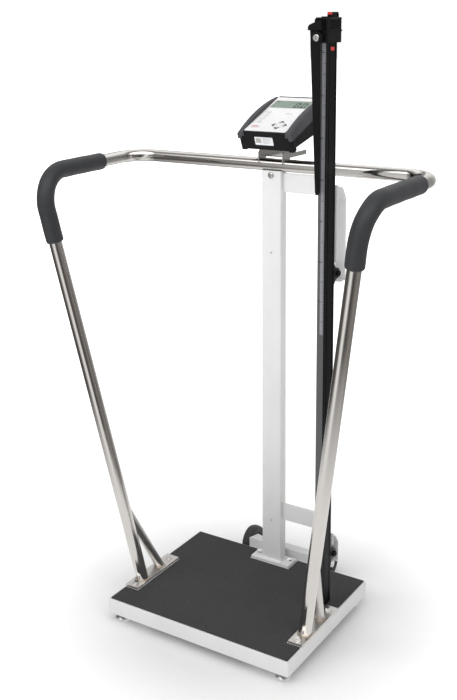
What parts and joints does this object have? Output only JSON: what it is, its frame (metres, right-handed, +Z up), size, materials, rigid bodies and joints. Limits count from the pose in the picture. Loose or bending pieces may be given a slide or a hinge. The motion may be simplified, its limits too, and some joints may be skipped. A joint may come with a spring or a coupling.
{
  "type": "handrail platform scale with height rod",
  "caption": "Medical handrail platform scale: low platform, column with tilted digital indicator, bent tube handrail with foam grips, height rod and transport wheels.",
  "frame": {"origin": "on the floor under the centre of the platform", "axes": "+X to the right of a person reading the display, +Y towards the column and wheels, +Z up"},
  "size_m": [0.9547, 0.5906, 1.591],
  "materials": {
    "white_coat": "satin powder coat",
    "frame_coat": "satin powder coat",
    "stainless": "polished stainless tube",
    "zinc_screw": "bright plated",
    "foam": "closed-cell foam, matte",
    "mat_rubber": "fine pebbled rubber",
    "foot_steel": "zinc plated, satin",
    "cell_aluminium": "machined",
    "case_grey": "moulded, fine texture",
    "bumper_rubber": "soft moulded edge",
    "overlay_white": "printed membrane",
    "window_clear": "clear",
    "lcd_panel": "reflective display",
    "key_white": "printed key caps",
    "red_plastic": "moulded",
    "board_green": "solder resist",
    "battery_wrap": "shrink wrap",
    "label_stock": "printed label",
    "black_nylon": "moulded",
    "black_anodised": "black anodised extrusion",
    "tape_print": "printed tape",
    "tyre_rubber": "solid rubber",
    "hub_plastic": "moulded"
  },
  "bodies": {
    "scale_frame": {"base_bolts": "zinc_screw", "base_frame": "frame_coat", "battery_pack": "battery_wrap", "bumper_left": "bumper_rubber", "bumper_right": "bumper_rubber", "cable_gland": "black_nylon", "case_screws": "black_nylon", "clamp_screws": "black_nylon", "column": "white_coat", "column_screw": "zinc_screw", "grip_left": "foam", "grip_right": "foam", "handrail": "stainless", "housing_base": "case_grey", "housing_cover": "case_grey", "indicator_bracket": "stainless", "junction_box": "case_grey", "lcd_module": "lcd_panel", "lcd_window": "window_clear", "load_cells": "cell_aluminium", "main_board": "board_green", "overlay": "overlay_white", "platform_cover": "white_coat", "platform_mat": "mat_rubber", "rail_foot_left": "stainless", "rail_foot_right": "stainless", "rail_spigot": "case_grey", "rating_label": "label_stock", "rod_bracket_lower": "white_coat", "rod_bracket_upper": "white_coat", "rod_clamp_lower": "black_nylon", "rod_clamp_upper": "black_nylon", "rod_foot": "black_nylon", "rod_marker": "red_plastic", "rod_outer": "black_anodised", "rod_tape": "tape_print", "wheel_axle": "stainless", "wheel_bracket": "white_coat"},
    "rod_section": {"rod_inner": "black_anodised", "rod_cap": "black_nylon", "rod_pointer": "red_plastic"},
    "head": {"head_slider": "black_nylon"},
    "arm": {"head_arm": "black_nylon", "arm_pivot": "zinc_screw"},
    "wheel_left": {"wheel_hub_left": "hub_plastic", "wheel_tyre_left": "tyre_rubber"},
    "wheel_right": {"wheel_hub_right": "hub_plastic", "wheel_tyre_right": "tyre_rubber"},
    "level_front_left": {"foot_front_left": "foot_steel"},
    "level_front_right": {"foot_front_right": "foot_steel"},
    "level_back_left": {"foot_back_left": "foot_steel"},
    "level_back_right": {"foot_back_right": "foot_steel"},
    "cap_key_power": {"key_power": "key_white"},
    "cap_key_round_1": {"key_round_1": "key_white"},
    "cap_key_round_2": {"key_round_2": "key_white"},
    "cap_key_round_3": {"key_round_3": "key_white"},
    "cap_key_round_4": {"key_round_4": "key_white"},
    "cap_key_nav": {"key_nav": "key_white"}
  },
  "joints": [
    {"name": "rod_extend", "type": "slide", "parent": "scale_frame", "child": "rod_section", "axis": [0, 0, 1], "range_m": [0, 0.5]},
    {"name": "head_travel", "type": "slide", "parent": "rod_section", "child": "head", "axis": [0, 0, 1], "range_m": [-1, 0]},
    {"name": "arm_fold", "type": "hinge", "parent": "head", "child": "arm", "pos_m": [0.2194, 0.0075, 1.533], "axis": [0, 1, 0], "range_deg": [0, 90]},
    {"name": "wheel_left_spin", "type": "hinge", "parent": "scale_frame", "child": "wheel_left", "pos_m": [-0.122, 0.281, 0.047], "axis": [1, 0, 0], "continuous": true},
    {"name": "wheel_right_spin", "type": "hinge", "parent": "scale_frame", "child": "wheel_right", "pos_m": [0.122, 0.281, 0.047], "axis": [1, 0, 0], "continuous": true},
    {"name": "foot_front_left_turn", "type": "hinge", "parent": "scale_frame", "child": "level_front_left", "pos_m": [-0.246, -0.196, 0.02], "axis": [0, 0, 1], "continuous": true},
    {"name": "foot_front_right_turn", "type": "hinge", "parent": "scale_frame", "child": "level_front_right", "pos_m": [0.246, -0.196, 0.02], "axis": [0, 0, 1], "continuous": true},
    {"name": "foot_back_left_turn", "type": "hinge", "parent": "scale_frame", "child": "level_back_left", "pos_m": [-0.246, 0.196, 0.02], "axis": [0, 0, 1], "continuous": true},
    {"name": "foot_back_right_turn", "type": "hinge", "parent": "scale_frame", "child": "level_back_right", "pos_m": [0.246, 0.196, 0.02], "axis": [0, 0, 1], "continuous": true},
    {"name": "key_power_press", "type": "slide", "parent": "scale_frame", "child": "cap_key_power", "axis": [0, 0.3697, -0.9291], "range_m": [0, 0.0008], "stiffness_N_per_m": 1000},
    {"name": "key_round_1_press", "type": "slide", "parent": "scale_frame", "child": "cap_key_round_1", "axis": [0, 0.3697, -0.9291], "range_m": [0, 0.0008], "stiffness_N_per_m": 1000},
    {"name": "key_round_2_press", "type": "slide", "parent": "scale_frame", "child": "cap_key_round_2", "axis": [0, 0.3697, -0.9291], "range_m": [0, 0.0008], "stiffness_N_per_m": 1000},
    {"name": "key_round_3_press", "type": "slide", "parent": "scale_frame", "child": "cap_key_round_3", "axis": [0, 0.3697, -0.9291], "range_m": [0, 0.0008], "stiffness_N_per_m": 1000},
    {"name": "key_round_4_press", "type": "slide", "parent": "scale_frame", "child": "cap_key_round_4", "axis": [0, 0.3697, -0.9291], "range_m": [0, 0.0008], "stiffness_N_per_m": 1000},
    {"name": "key_nav_press", "type": "slide", "parent": "scale_frame", "child": "cap_key_nav", "axis": [0, 0.3697, -0.9291], "range_m": [0, 0.0008], "stiffness_N_per_m": 1000}
  ]
}
